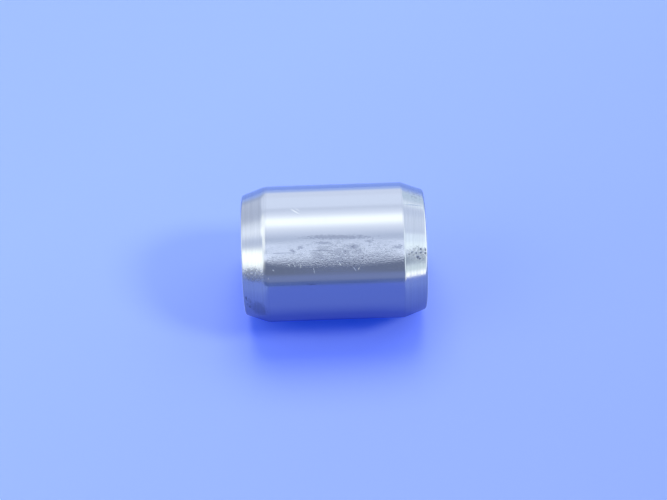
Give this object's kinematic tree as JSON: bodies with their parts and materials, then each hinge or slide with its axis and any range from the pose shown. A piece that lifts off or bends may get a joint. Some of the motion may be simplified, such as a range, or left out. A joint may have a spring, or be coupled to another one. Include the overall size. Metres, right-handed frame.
{
  "type": "dowel pin",
  "caption": "Short solid steel dowel pin with a ground round shank and a lead chamfer on both ends, for locating two parts against each other.",
  "frame": {"origin": "centre of the lower end face, on the pin's axis", "axes": "+Z along the pin's axis, from the crisper end it stands on towards the more worn end; X and Y across it, both alike"},
  "size_m": [0.012, 0.012, 0.016],
  "materials": {
    "ground_steel": "centreless-ground shank, turned chamfers and end faces, light fretting and handling marks"
  },
  "bodies": {
    "root": {"dowel_pin": "ground_steel"}
  },
  "joints": []
}
